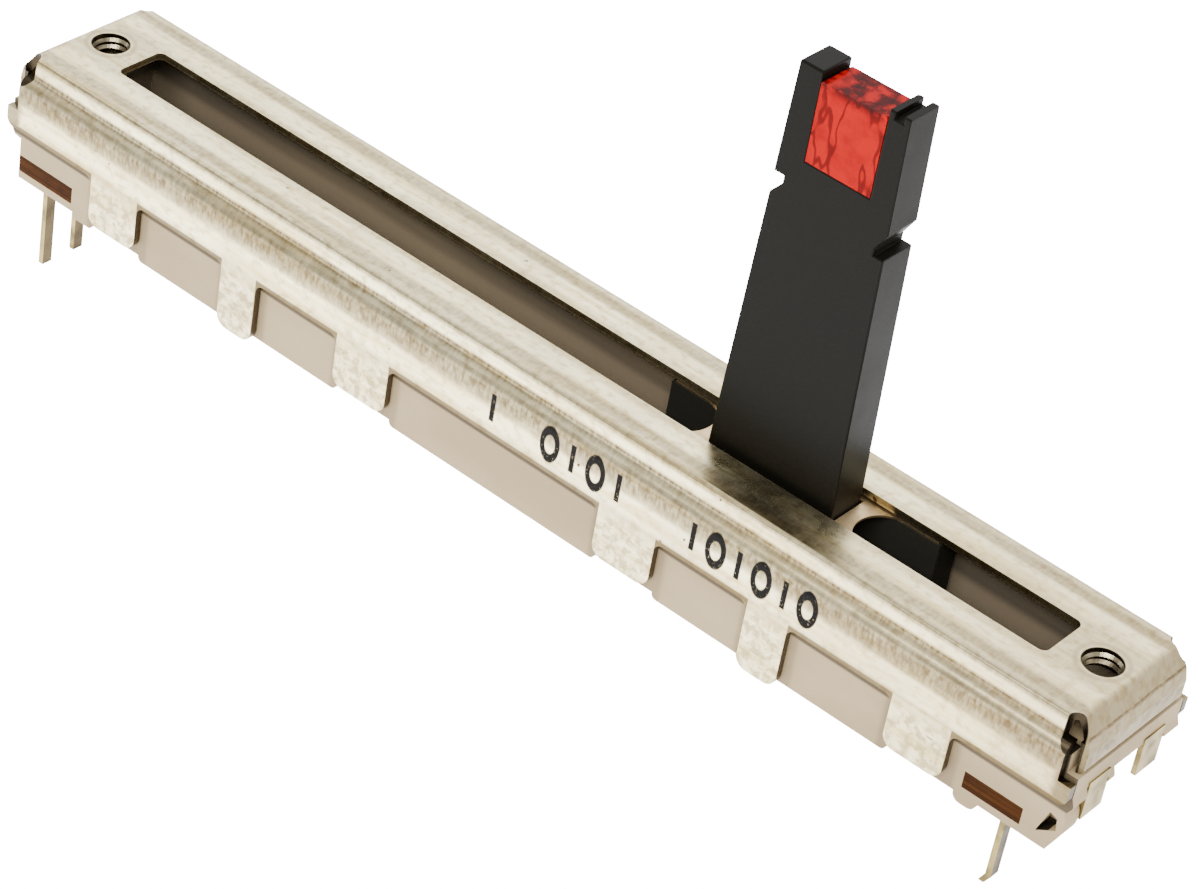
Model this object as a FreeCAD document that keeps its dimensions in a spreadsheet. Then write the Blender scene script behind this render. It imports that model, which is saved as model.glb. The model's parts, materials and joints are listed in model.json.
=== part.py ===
import FreeCAD, Part
import os
import re
import Sketcher

# A slide potentiometer with an illuminated lever, 60 mm travel, in millimetres.
# The origin is the middle of the two tapped holes on the top face of the cover.
# X runs along the travel, Z points up, and the lever stands at its resting place.

# Driving sizes
travel = 60.0
stop_allowance = 10.7
end_margin = 3.0
cover_width = 12.0
sheet = 0.5
thread_minor = 2.5
lever_width = 9.3
lever_thickness = 3.0
lever_height = 26.55
lead_pitch = 2.54

# Cover, a folded steel channel; depths are measured down from its top face
hole_pitch = travel + lever_width + stop_allowance
cover_length = hole_pitch + 2 * end_margin
flange_slope = 1.0
flat_length = cover_length - 2 * flange_slope
ear_reach = 0.93
skirt_length = cover_length - 2 * ear_reach
shoulder_step = 0.75
raised_width = cover_width - 2 * shoulder_step
step_lean = 0.17
step_depth = 1.4
shoulder_depth = step_depth + sheet
skirt_depth = 5.4
short_tab_depth = skirt_depth + 3.55
long_tab_depth = skirt_depth + 4.7
slot_spare = 2.68
slot_side_gap = 0.47
slot_length = travel + lever_width + 2 * slot_spare
slot_width = lever_thickness + 2 * slot_side_gap
flange_ease_depth = 1.3
flange_knee_depth = 2.1
flange_depth = flange_knee_depth + 1.5
flange_top_width = raised_width - sheet
ear_depth = skirt_depth - 1.45
relief_radius = 1.3 * sheet
inner_tab_near = 0.1 * cover_length - 0.03
inner_tab_far = inner_tab_near + 4.43
middle_tab_near = 0.233 * cover_length
middle_tab_far = middle_tab_near + 3.05
outer_tab_width = 4.25
outer_tab_margin = 7.962
outer_tab_far = cover_length / 2 - outer_tab_margin
outer_tab_near = outer_tab_far - outer_tab_width
tab_round = 0.9
window_round = 0.6
channel_play = 0.04
collar_play = 0.2
channel_width = slot_width - channel_play
collar_width = channel_width - collar_play
collar_depth = sheet + 0.8

# Base, element board and printed tracks
fit_gap = 0.08
wall = 0.97
room_half = cover_width / 2 - sheet - fit_gap - wall
flange_gap = 0.8
base_length = cover_length - 2 * flange_gap
base_top = shoulder_depth + 0.45
board_top = skirt_depth + 2.3
board_thickness = 1.2
board_groove = 0.45
floor_sheet = 0.55
floor_rim = 0.17
floor_depth = board_top + board_thickness + floor_sheet
apron_drop = 0.42
apron_depth = floor_depth + apron_drop
foot_drop = 0.65
foot_depth = floor_depth + foot_drop
apron_gap = 0.07
board_inset = 1.3
board_right = base_length / 2 - board_inset
end_wall_face = board_right + 0.4
left_ear = base_length / 2 - 5.0
right_ear = base_length / 2 - 6.0
ear_end = base_length / 2 - 1.9
apron_end = base_length / 2 - 5.15
foot_near = outer_tab_far + 0.7
foot_far = apron_end + 0.35
ledge_gap = 0.05
ledge_top = flange_depth + ledge_gap
ledge_foot = ledge_top + 1.45
ledge_lip = 0.2
rib_width = 0.6
lobe_radius = 2.0
lobe_centre = base_length / 2 - 1.2
lobe_drop = board_top - 0.4
lobe_width = 1.5
screw_room = collar_width / 2 + 0.35
track_thickness = 0.05
collector_inner = 0.157 * room_half
collector_width = 0.18 * room_half
rail_inner = 0.46 * room_half
rail_width = 0.112 * room_half
resistive_inner = 0.72 * room_half
resistive_width = 0.2 * room_half
track_spare = 0.5
contact_gap = 0.03

# Terminals and rivets
pin_thickness = 0.4
pin_width = 0.8
left_pin = base_length / 2 - 2.4
right_pin = base_length / 2 - 3.0
left_reach = 3 * pin_thickness
right_reach = 1.75 * pin_thickness
outer_pin_side = room_half + 0.35
outer_pad_side = room_half - 0.15
inner_pin_side = 0.45 * room_half
left_pin_end = floor_depth + 5.75
right_pin_end = left_pin_end - 0.7
pin_kink = 0.35
kink_height = 0.6
pad_radius = 0.75 * pin_width
rivet_radius = 0.3
rivet_head = 0.5
rivet_cap = 0.15
lamp_tab_side = 0.63 * room_half
lamp_tab_width = 2.1
lamp_tab_sheet = 0.35
lamp_tab_length = 2.4
lamp_tab_end = ledge_foot + lamp_tab_length
lamp_tab_overhang = 0.1

# Slider: carrier, lever, lamp and springs, drawn about the middle of the lever
lever_rest = 17.0
carrier_spare = 11.1
carrier_length = lever_width + carrier_spare
stop_gap = 0.1
stop_length = travel + carrier_length + 2 * stop_gap
guide_gap = 0.1
spring_sheet = 0.15
carrier_top = sheet + 2 * spring_sheet
carrier_foot = board_top - 1.1
channel_depth = 4.0
screw_depth = channel_depth
lever_top_width = 0.828 * lever_width
lever_top_thickness = 0.887 * lever_thickness
tenon_length = 0.54 * lever_width
tenon_width = 0.6 * lever_thickness
fork_left = 0.242 * lever_width
fork_right = 0.258 * lever_width
fork_depth = 5.85
lamp_sink = 0.58
fork_floor = lever_height - fork_depth
lamp_top = lever_height - lamp_sink
lamp_gap = 0.03
lamp_height = lamp_top - fork_floor
prong_groove_depth = 0.45
notch_depth = 0.7
notch_drop = 7.45
notch_top = lever_height - notch_drop
notch_height = 0.5
notch_slope = 0.9
spring_length = carrier_length - 0.4
spring_width = 2 * room_half - 0.5
spring_arc = collar_width / 2 + 0.25
spring_bridge = lever_width + 2.1
lever_clearance = 0.12
lead_width = 0.5
lead_end = carrier_foot + 0.25
wiper_plate_start = 0.147 * carrier_length
wiper_plate_end = 0.294 * carrier_length
finger_end = 0.441 * carrier_length
track_length = travel + 2 * (finger_end - 3 * track_spare)

# Every size named above gets its own cell in the sheet, under the same name
sizes = {name: number for name, number in globals().items() if isinstance(number, float)}
doc = FreeCAD.newDocument("slide_potentiometer")
sheet_table = doc.addObject("Spreadsheet::Sheet", "dims")
for row, (name, number) in enumerate(sizes.items(), 1):
    sheet_table.set("A%d" % row, "%.6f" % number)
    sheet_table.setAlias("A%d" % row, name)
doc.recompute()


def linked(text):
    """Turns the names of sizes in a formula into references to the sheet."""
    return re.sub(r"([a-z][a-z_]+)", r"dims.\1", text)


def value(text):
    return float(sheet_table.evalExpression(linked(text)))


def minus(text):
    return "-(%s)" % text


# Building blocks: closed outlines drawn on the planes of a body, then padded or pocketed

def new_body(label):
    body = doc.addObject("PartDesign::Body", label)
    body.Label = label
    return body


def draw(body, name, plane, outlines, offset="0"):
    """Draws polygons and circles whose corners are tied to the sheet."""
    drawing = body.newObject("Sketcher::SketchObject", name)
    planes = {item.Role: item for item in body.Origin.OriginFeatures}
    drawing.AttachmentSupport = (planes[plane + "_Plane"], [""])
    drawing.MapMode = "FlatFace"
    drawing.setExpression("AttachmentOffset.Base.z", linked(offset))
    for outline in outlines:
        if outline[0] == "circle":
            draw_circle(drawing, *outline[1:])
        else:
            draw_polygon(drawing, outline)
    return drawing


def tie(drawing, kind, item, corner, formula):
    number = drawing.addConstraint(Sketcher.Constraint(kind, -1, 1, item, corner, value(formula)))
    drawing.setExpression("Constraints[%d]" % number, linked(formula))


def draw_circle(drawing, across, up, radius):
    centre = FreeCAD.Vector(value(across), value(up), 0)
    circle = Part.Circle(centre, FreeCAD.Vector(0, 0, 1), value(radius))
    item = drawing.addGeometry(circle, False)
    tie(drawing, "DistanceX", item, 3, across)
    tie(drawing, "DistanceY", item, 3, up)
    number = drawing.addConstraint(Sketcher.Constraint("Radius", item, value(radius)))
    drawing.setExpression("Constraints[%d]" % number, linked(radius))


def draw_polygon(drawing, corners):
    points = [FreeCAD.Vector(value(across), value(up), 0) for across, up in corners]
    lines = []
    for start, end in zip(points, points[1:] + points[:1]):
        lines.append(drawing.addGeometry(Part.LineSegment(start, end), False))
    for line, following in zip(lines, lines[1:] + lines[:1]):
        drawing.addConstraint(Sketcher.Constraint("Coincident", line, 2, following, 1))
    for line, (across, up) in zip(lines, corners):
        tie(drawing, "DistanceX", line, 1, across)
        tie(drawing, "DistanceY", line, 1, up)


def build(body, name, drawing, length, cut, symmetric):
    feature = body.newObject("PartDesign::Pocket" if cut else "PartDesign::Pad", name)
    feature.Profile = drawing
    feature.SideType = "Symmetric" if symmetric else "One side"
    feature.setExpression("Length", linked(length))
    doc.recompute()
    return feature


def upright(body, name, outlines, low, high, cut=False):
    """Plan outlines between two heights."""
    drawing = draw(body, name + "_plan", "XY", outlines, high if cut else low)
    return build(body, name, drawing, "(%s) - (%s)" % (high, low), cut, False)


def sideways(body, name, outlines, width, middle="0", cut=False):
    """Side-view outlines given a width in Y about a middle plane."""
    drawing = draw(body, name + "_side", "XZ", outlines, minus(middle))
    return build(body, name, drawing, width, cut, True)


def lengthwise(body, name, outlines, length, middle="0", cut=False):
    """End-view outlines given a length in X about a middle plane."""
    drawing = draw(body, name + "_end", "YZ", outlines, middle)
    return build(body, name, drawing, length, cut, True)


def box(left, right, low, high):
    return [(left, low), (right, low), (right, high), (left, high)]


def centred(width, low, high):
    half = "(%s) / 2" % width
    return box(minus(half), half, low, high)


def around(across, up, reach):
    """A square about a point."""
    return box(
        "%s - %s" % (across, reach),
        "%s + %s" % (across, reach),
        "%s - %s" % (up, reach),
        "%s + %s" % (up, reach),
    )


def mirrored(outline):
    if outline[0] == "circle":
        return ("circle", minus(outline[1])) + tuple(outline[2:])
    return [(minus(across), up) for across, up in outline]


def both(*outlines):
    """The outlines and their mirror images about the upright axis."""
    return list(outlines) + [mirrored(outline) for outline in outlines]


def edges_along(shape, axis, spots):
    """Names of the straight edges that run along an axis through the given spots."""
    others = [item for item in range(3) if item != axis]
    places = [(value(first), value(second)) for first, second in spots]
    names = []
    for number, edge in enumerate(shape.Edges, 1):
        start, end = edge.Vertexes[0].Point, edge.Vertexes[-1].Point
        if abs(abs(end[axis] - start[axis]) - edge.Length) > 1e-6:
            continue
        for place in places:
            if all(abs(start[item] - target) < 1e-4 for item, target in zip(others, place)):
                names.append("Edge%d" % number)
                break
    return names


def soften(body, name, axis, spots, radius, kind="Fillet"):
    """Rounds or chamfers the edges that run along an axis through the spots."""
    base = body.Tip
    names = edges_along(base.Shape, axis, spots)
    feature = body.newObject("PartDesign::" + kind, name)
    feature.Base = (base, names)
    feature.setExpression("Radius" if kind == "Fillet" else "Size", linked(radius))
    doc.recompute()
    return feature


def two_sides(*spots):
    """The spots and their mirror images in the first coordinate."""
    return list(spots) + [(minus(first), second) for first, second in spots]


HALF_HOLES = "hole_pitch / 2"
SKIRT = "cover_width / 2"
SKIRT_IN = "cover_width / 2 - sheet"
RAISED = "raised_width / 2"
COVER_END = "cover_length / 2"
FLAT_END = "flat_length / 2"
WALL_OUT = "cover_width / 2 - sheet - fit_gap"
WALL_IN = "cover_width / 2 - sheet - fit_gap - wall"
BASE_END = "base_length / 2"
BOARD_FOOT = "board_top + board_thickness"
GUIDE = "cover_width / 2 - sheet - fit_gap - wall - guide_gap"
TRACK_FACE = "board_top - track_thickness"


# Cover

def cover_section():
    """One side of the folded wall, from the middle of the top to the foot of the longest tab."""
    outer = [
        (RAISED, "0"),
        (RAISED + " + step_lean", "-step_depth"),
        (SKIRT, "-shoulder_depth"),
        (SKIRT, "-long_tab_depth"),
    ]
    inner = [
        (SKIRT_IN, "-long_tab_depth"),
        (SKIRT_IN, "-shoulder_depth - 0.458 * sheet"),
        (RAISED + " + step_lean - 0.945 * sheet", "-step_depth - 0.505 * sheet"),
        (RAISED + " - 0.886 * sheet", "-sheet"),
    ]
    near = outer + inner
    return near + [(minus(across), up) for across, up in reversed(near)]


def flange_section():
    """The end flange in side view, rooted in the top sheet."""
    root = FLAT_END + " - 0.8 * flange_slope"
    return [
        (root, "0"),
        (FLAT_END, "0"),
        (COVER_END + " - 0.2 * flange_slope", "-flange_ease_depth"),
        (COVER_END, "-flange_knee_depth"),
        (COVER_END, "-flange_depth"),
        (COVER_END + " - sheet", "-flange_depth"),
        (COVER_END + " - sheet", "-flange_knee_depth - 0.122 * sheet"),
        (COVER_END + " - 0.2 * flange_slope - 0.932 * sheet", "-flange_ease_depth - 0.394 * sheet"),
        (FLAT_END + " - 0.56 * sheet", "-sheet"),
        (root, "-sheet"),
    ]


def skirt_windows():
    """The openings between the tabs, and the ends of the short tabs."""
    below = "-long_tab_depth - 1"
    middle_half = [
        ("inner_tab_near", "-skirt_depth"),
        ("inner_tab_near", "-short_tab_depth"),
        ("inner_tab_far", "-short_tab_depth"),
        ("inner_tab_far", "-skirt_depth"),
        ("middle_tab_near", "-skirt_depth"),
        ("middle_tab_near", below),
    ]
    middle = middle_half + [(minus(across), up) for across, up in reversed(middle_half)]
    outer = [
        ("middle_tab_far", below),
        ("middle_tab_far", "-skirt_depth"),
        ("outer_tab_near", "-skirt_depth"),
        ("outer_tab_near", "-short_tab_depth"),
        ("outer_tab_far", "-short_tab_depth"),
        ("outer_tab_far", "-skirt_depth"),
        (COVER_END + " + 1", "-skirt_depth"),
        (COVER_END + " + 1", below),
    ]
    return [middle] + both(outer)


def make_cover():
    body = new_body("cover")
    lengthwise(body, "folded_sides", [cover_section()], "cover_length")
    soften(body, "top_bend", 0, two_sides((RAISED, "0")), "0.6 * sheet")
    soften(body, "shoulder_bend", 0, two_sides((SKIRT, "-shoulder_depth")), "2 * sheet")
    inner_shoulder = (SKIRT_IN, "-shoulder_depth - 0.458 * sheet")
    soften(body, "shoulder_inside", 0, two_sides(inner_shoulder), "sheet")
    soften(body, "crease", 0, two_sides((RAISED + " + step_lean", "-step_depth")), "0.4 * sheet")
    trim = [
        ("skirt_length / 2", "-ear_depth"),
        ("skirt_length / 2", "-2 * sheet"),
        (FLAT_END + " - 0.4 * flange_slope", "-2 * sheet"),
        (FLAT_END + " - 0.4 * flange_slope", "1"),
        (COVER_END + " + 1", "1"),
        (COVER_END + " + 1", "-ear_depth"),
    ]
    sideways(body, "end_trim", both(trim), "cover_width + 2", cut=True)
    sideways(body, "end_flanges", both(flange_section()), "flange_top_width")
    for name, spot in (
        ("flange_bend", (FLAT_END, "0")),
        ("flange_ease", (COVER_END + " - 0.2 * flange_slope", "-flange_ease_depth")),
        ("flange_foot", (COVER_END, "-flange_depth")),
    ):
        soften(body, name, 1, two_sides(spot), "0.9 * sheet")
    reliefs = both(("circle", FLAT_END, RAISED, "relief_radius"))
    reliefs += both(("circle", FLAT_END, minus(RAISED), "relief_radius"))
    upright(body, "corner_reliefs", reliefs, "-3 * sheet", "1", cut=True)
    sideways(body, "windows", skirt_windows(), "cover_width + 2", cut=True)
    window_corners = [("inner_tab_near", "-skirt_depth"), ("inner_tab_far", "-skirt_depth")]
    window_corners += [("middle_tab_near", "-skirt_depth"), ("middle_tab_far", "-skirt_depth")]
    window_corners += [("outer_tab_near", "-skirt_depth"), ("outer_tab_far", "-skirt_depth")]
    window_corners += [(COVER_END, "-skirt_depth")]
    soften(body, "window_corners", 1, two_sides(*window_corners), "window_round")
    tab_corners = [("inner_tab_near", "-short_tab_depth"), ("inner_tab_far", "-short_tab_depth")]
    tab_corners += [("outer_tab_near", "-short_tab_depth"), ("outer_tab_far", "-short_tab_depth")]
    tab_corners += [("middle_tab_near", "-long_tab_depth"), ("middle_tab_far", "-long_tab_depth")]
    soften(body, "tab_corners", 1, two_sides(*tab_corners), "tab_round")
    slot = centred("slot_length", "-slot_width / 2", "slot_width / 2")
    upright(body, "lever_slot", [slot], "-2 * sheet", "1", cut=True)
    slot_corners = two_sides(("slot_length / 2", "slot_width / 2"))
    slot_corners += two_sides(("slot_length / 2", "-slot_width / 2"))
    soften(body, "slot_corners", 2, slot_corners, "sheet")
    collars = both(("circle", HALF_HOLES, "0", "collar_width / 2"))
    upright(body, "thread_collars", collars, "-collar_depth", "-sheet")
    threads = both(("circle", HALF_HOLES, "0", "thread_minor / 2"))
    upright(body, "tapped_holes", threads, "-collar_depth - 1", "1", cut=True)


# Base

def ledge_section():
    """The shelf at each end on which the cover's flange stands."""
    return [
        (BASE_END + " - ledge_lip", "-ledge_top"),
        (COVER_END, "-ledge_top"),
        (COVER_END, "-ledge_foot"),
        (COVER_END + " + ledge_lip", "-ledge_foot - 3 * ledge_lip"),
        (COVER_END + " - ledge_lip", "-ledge_foot - 6.25 * ledge_lip"),
        (BASE_END + " - ledge_lip", "-ledge_foot - 7 * ledge_lip"),
    ]


def behind_ledge(top):
    """The space behind the right end's ledge, down past the end wall and the board's end."""
    return [
        ("end_wall_face", top),
        (COVER_END + " + 1", top),
        (COVER_END + " + 1", "-floor_depth - 1"),
        ("board_right", "-floor_depth - 1"),
        ("board_right", "-board_top"),
        ("end_wall_face", "-board_top"),
    ]


def board_outline():
    """Plan of the element board: wide ears at both ends, and a narrower middle."""
    middle = WALL_IN + " + board_groove"
    right = [
        (minus(BASE_END), WALL_OUT),
        ("-left_ear", WALL_OUT),
        ("-left_ear", middle),
        ("right_ear", middle),
        ("right_ear", WALL_OUT),
        ("ear_end", WALL_OUT),
        ("ear_end", middle),
        ("board_right", middle),
    ]
    return right + [(across, minus(up)) for across, up in reversed(right)]


def make_base():
    body = new_body("base")
    block = box(minus(BASE_END), BASE_END, minus(WALL_OUT), WALL_OUT)
    upright(body, "block", [block], "-floor_depth", "-base_top")
    aprons = [centred("2 * (inner_tab_near - apron_gap)", "-apron_depth", "-board_top")]
    beside_tabs = ("inner_tab_far + apron_gap", "outer_tab_near + apron_gap")
    aprons += both(box(*beside_tabs, "-apron_depth", "-board_top"))
    aprons += [box("-apron_end", "-outer_tab_far - 5 * apron_gap", "-apron_depth", "-board_top")]
    aprons += [box("foot_near", "foot_far", "-foot_depth", "-board_top")]
    sideways(body, "aprons", aprons, "2 * (%s)" % WALL_OUT)
    apron_corners = two_sides(("inner_tab_near - apron_gap", "-apron_depth"))
    apron_corners += two_sides(*((across, "-apron_depth") for across in beside_tabs))
    apron_corners += [("-apron_end", "-apron_depth")]
    soften(body, "apron_corners", 1, apron_corners, "0.9 * apron_drop")
    foot_corners = [("foot_near", "-foot_depth"), ("foot_far", "-foot_depth")]
    soften(body, "foot_corners", 1, foot_corners, "0.9 * foot_drop")
    sideways(body, "end_ledges", both(ledge_section()), "2 * (%s)" % WALL_OUT)
    nose = (COVER_END + " + ledge_lip", "-ledge_foot - 3 * ledge_lip")
    soften(body, "ledge_nose", 1, two_sides(nose), "1.5 * ledge_lip")
    lobe = ("circle", "lobe_centre", "-lobe_drop", "lobe_radius")
    lobe_middle = minus(WALL_OUT + " - lobe_width / 2")
    sideways(body, "corner_lobe", [lobe], "lobe_width", lobe_middle)
    between_aprons = box("-apron_end - 1", "apron_end + 1", minus(WALL_IN), WALL_IN)
    upright(body, "under_floor", [between_aprons], "-foot_depth - 1", "-floor_depth", cut=True)
    ledge_mouth = box(minus(COVER_END) + " - 1", minus(BASE_END), "-0.876 * room_half", "0.876 * room_half")
    upright(body, "ledge_recess", [ledge_mouth], "-lobe_drop - 3", "-ledge_foot", cut=True)
    rib_near = "-lamp_tab_side + lamp_tab_width / 2"
    strips = (
        ("under_front_ledge", minus(WALL_OUT) + " + lobe_width", rib_near, "-ledge_foot"),
        ("under_rib", rib_near, rib_near + " + rib_width", "-ledge_foot - 4.5 * ledge_lip"),
        ("under_rear_ledge", rib_near + " + rib_width", "0.876 * room_half", "-ledge_foot"),
        ("under_rear_corner", "0.876 * room_half", "cover_width", "-ledge_foot - 3 * ledge_lip"),
    )
    for name, near, far, top in strips:
        middle = "((%s) + (%s)) / 2" % (near, far)
        sideways(body, name, [behind_ledge(top)], "(%s) - (%s)" % (far, near), middle, cut=True)
    room = centred("stop_length", minus(WALL_IN), WALL_IN)
    upright(body, "slider_room", [room], "-board_top", "-base_top + 1", cut=True)
    screws = both(("circle", HALF_HOLES, "0", "screw_room"))
    upright(body, "screw_room", screws, "-screw_depth", "-base_top + 1", cut=True)
    upright(body, "board_seat", [board_outline()], minus(BOARD_FOOT), "-board_top", cut=True)
    rim_face = WALL_OUT + " - floor_rim"
    pad_gap = "0.1"
    left_ends = (minus(BASE_END) + " + 2 * floor_rim", "-left_pin + pad_radius - " + pad_gap)
    right_ends = ("right_pin - pad_radius + " + pad_gap, "right_pin + right_reach")
    groove_face = WALL_IN + " + board_groove"
    openings = (
        ("left_opening", left_ends, rim_face),
        ("right_opening", right_ends, rim_face),
        ("pad_opening", ("right_pin", "board_right"), groove_face),
    )
    for name, ends, side in openings:
        opening = box(*ends, minus(side), side)
        upright(body, name, [opening], "-foot_depth - 1", minus(BOARD_FOOT), cut=True)
    rooms = [around(pad_x, pad_y, "1.2 * rivet_head") for pin_x, pad_x, pin_y, pad_y in terminal_places()]
    upright(body, "rivet_room", rooms, "-board_top", "-board_top + 2.5 * rivet_cap", cut=True)
    for side, middle in (("front", "-lamp_tab_side"), ("rear", "lamp_tab_side")):
        name = "lamp_terminal_way_" + side
        sideways(body, name, [lamp_terminal_path()], "lamp_tab_width", middle, cut=True)
    hollow = [
        ("lobe_centre + 0.17 * lobe_radius", "-lobe_drop - 0.635 * lobe_radius"),
        ("lobe_centre + 0.47 * lobe_radius", "-lobe_drop + 0.267 * lobe_radius"),
        ("lobe_centre + 0.734 * lobe_radius", "-lobe_drop + 0.17 * lobe_radius"),
        ("lobe_centre + 0.783 * lobe_radius", "-lobe_drop - 0.245 * lobe_radius"),
    ]
    sideways(body, "corner_hollow", [hollow], "1.4 * lobe_width", minus(WALL_OUT), cut=True)


def make_board():
    body = new_body("element_board")
    upright(body, "board", [board_outline()], minus(BOARD_FOOT), "-board_top")
    holes = rivet_circles("rivet_radius")
    upright(body, "rivet_holes", holes, minus(BOARD_FOOT) + " - 1", "-board_top + 1", cut=True)


def make_track(label, inner, width, length):
    """A printed strip on top of the board."""
    strip = doc.addObject("Part::Box", label)
    strip.Label = label
    strip.setExpression("Length", linked(length))
    strip.setExpression("Width", linked(width))
    strip.setExpression("Height", linked("track_thickness"))
    strip.setExpression("Placement.Base.x", linked("-(%s) / 2" % length))
    front = label.endswith("front")
    strip.setExpression("Placement.Base.y", linked("-(%s) - %s" % (inner, width) if front else inner))
    strip.setExpression("Placement.Base.z", linked("-board_top"))


# Terminals and their rivets

def terminal_places():
    """End sign, X of the pin, Y of the pin and Y of the riveted pad."""
    places = []
    for pin, pad in (("outer_pin_side", "outer_pad_side"), ("inner_pin_side", "inner_pin_side")):
        for sign in ("-", ""):
            places.append(("-left_pin", "-left_pin - left_reach", sign + pin, sign + pad))
    for sign in ("-", ""):
        pin, pad = sign + "outer_pin_side", sign + "outer_pad_side"
        places.append(("right_pin", "right_pin + right_reach", pin, pad))
    return places


def rivet_circles(radius):
    return [("circle", pad_x, pad_y, radius) for pin_x, pad_x, pin_y, pad_y in terminal_places()]


def make_terminal(label, place):
    """A tinned strip: a riveted foot under the board, bent down into a pin."""
    pin_x, pad_x, pin_y, pad_y = place
    body = new_body(label)
    foot_low = minus(BOARD_FOOT + " + pin_thickness")
    left_end = pin_x.startswith("-")
    tip = "-left_pin_end" if left_end else "-right_pin_end"
    outward = "-" if left_end else "+"
    inward = "+" if left_end else "-"
    inner_face = "%s %s pin_thickness / 2" % (pin_x, inward)
    outer_face = "%s %s pin_thickness / 2" % (pin_x, outward)
    path = [
        (pad_x, minus(BOARD_FOOT)),
        (inner_face, minus(BOARD_FOOT)),
        (inner_face, tip + " + kink_height"),
        (inner_face + ("" if left_end else " - pin_kink"), tip),
        (outer_face + ("" if left_end else " - pin_kink"), tip),
        (outer_face, tip + " + kink_height"),
        (outer_face, foot_low),
        (pad_x, foot_low),
    ]
    if left_end:
        path = [corner for number, corner in enumerate(path) if number not in (2, 5)]
    sideways(body, "strip", [path], "pin_width", pin_y)
    soften(body, "bend_outside", 1, [(inner_face, minus(BOARD_FOOT))], "1.5 * pin_thickness")
    soften(body, "bend_inside", 1, [(outer_face, foot_low)], "0.6 * pin_thickness")
    upright(body, "pad", [("circle", pad_x, pad_y, "pad_radius")], foot_low, minus(BOARD_FOOT))
    hole = ("circle", pad_x, pad_y, "rivet_radius")
    upright(body, "rivet_hole", [hole], foot_low + " - 1", minus(BOARD_FOOT), cut=True)


def make_rivets():
    body = new_body("terminal_rivets")
    body.AllowCompound = True
    foot_low = minus(BOARD_FOOT + " + pin_thickness")
    upright(body, "shanks", rivet_circles("rivet_radius"), foot_low, "-board_top")
    upright(body, "top_heads", rivet_circles("rivet_head"), "-board_top", "-board_top + rivet_cap")
    upright(body, "foot_heads", rivet_circles("rivet_head"), foot_low + " - rivet_cap", foot_low)


def lamp_terminal_path():
    """Side view of a moulded-in lamp terminal: an outer tab, a bridge and an inner contact foot."""
    top = "-ledge_foot"
    outside = COVER_END + " + lamp_tab_overhang"
    inside = "stop_length / 2 + 0.6 * lamp_tab_sheet"
    rail_top = minus(TRACK_FACE)
    return [
        (outside, "-lamp_tab_end"),
        (outside, top + " + lamp_tab_sheet"),
        (inside, top + " + lamp_tab_sheet"),
        (inside, rail_top + " + lamp_tab_sheet"),
        ("travel / 2 + finger_end + 6 * stop_gap", rail_top + " + lamp_tab_sheet"),
        ("travel / 2 + finger_end + 6 * stop_gap", rail_top),
        (inside + " + lamp_tab_sheet", rail_top),
        (inside + " + lamp_tab_sheet", top),
        (outside + " - lamp_tab_sheet", top),
        (outside + " - lamp_tab_sheet", "-lamp_tab_end"),
    ]


def make_lamp_terminal(label, middle):
    body = new_body(label)
    sideways(body, "strip", [lamp_terminal_path()], "lamp_tab_width", middle)


# Slider

def new_slider_body(label):
    """A body drawn about the middle of the lever and placed at the lever's resting place."""
    body = new_body(label)
    body.setExpression("Placement.Base.x", linked("lever_rest"))
    return body


def make_carrier():
    body = new_slider_body("carrier")
    block = centred("carrier_length", minus(GUIDE), GUIDE)
    upright(body, "block", [block], "-carrier_foot", "-carrier_top")
    ends = two_sides(("carrier_length / 2", GUIDE)) + two_sides(("carrier_length / 2", minus(GUIDE)))
    soften(body, "end_rounds", 2, ends, "4 * guide_gap")
    channel = centred("carrier_length + 1", "-channel_width / 2", "channel_width / 2")
    upright(body, "channel", [channel], "-channel_depth", "1", cut=True)
    socket = centred("tenon_length", "-tenon_width / 2", "tenon_width / 2")
    upright(body, "lever_socket", [socket], "-carrier_foot - 1", "-channel_depth", cut=True)


def lever_plan(depth):
    """Half sizes of the tapered lever at a height given in the sheet's names."""
    lean_x = "(lever_width - lever_top_width) / 2 / lever_height"
    lean_y = "(lever_thickness - lever_top_thickness) / 2 / lever_height"
    half_x = "lever_width / 2 - (%s) * %s" % (depth, lean_x)
    half_y = "lever_thickness / 2 - (%s) * %s" % (depth, lean_y)
    return box(minus(half_x), half_x, minus(half_y), half_y)


def side_of_lever(height):
    return lever_plan(height)[1][0]


def left_notch():
    """A notch with a level top and a slope below it."""
    wall_foot = "notch_top - notch_height"
    slope_foot = wall_foot + " - notch_slope"
    inner = minus(side_of_lever("notch_top")) + " + notch_depth"
    edge = minus(side_of_lever(slope_foot))
    return [
        ("-lever_width", "notch_top"),
        (inner, "notch_top"),
        (inner, wall_foot),
        (edge, slope_foot),
        ("-lever_width", slope_foot),
    ]


def right_notch():
    """A notch with a slope above and a level foot, lower than the left one."""
    wall_top = "notch_top - notch_slope - notch_height / 2"
    foot = wall_top + " - notch_height"
    inner = side_of_lever(foot) + " - notch_depth"
    return [
        ("lever_width", "notch_top"),
        (side_of_lever("notch_top"), "notch_top"),
        (inner, wall_top),
        (inner, foot),
        ("lever_width", foot),
    ]


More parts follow.
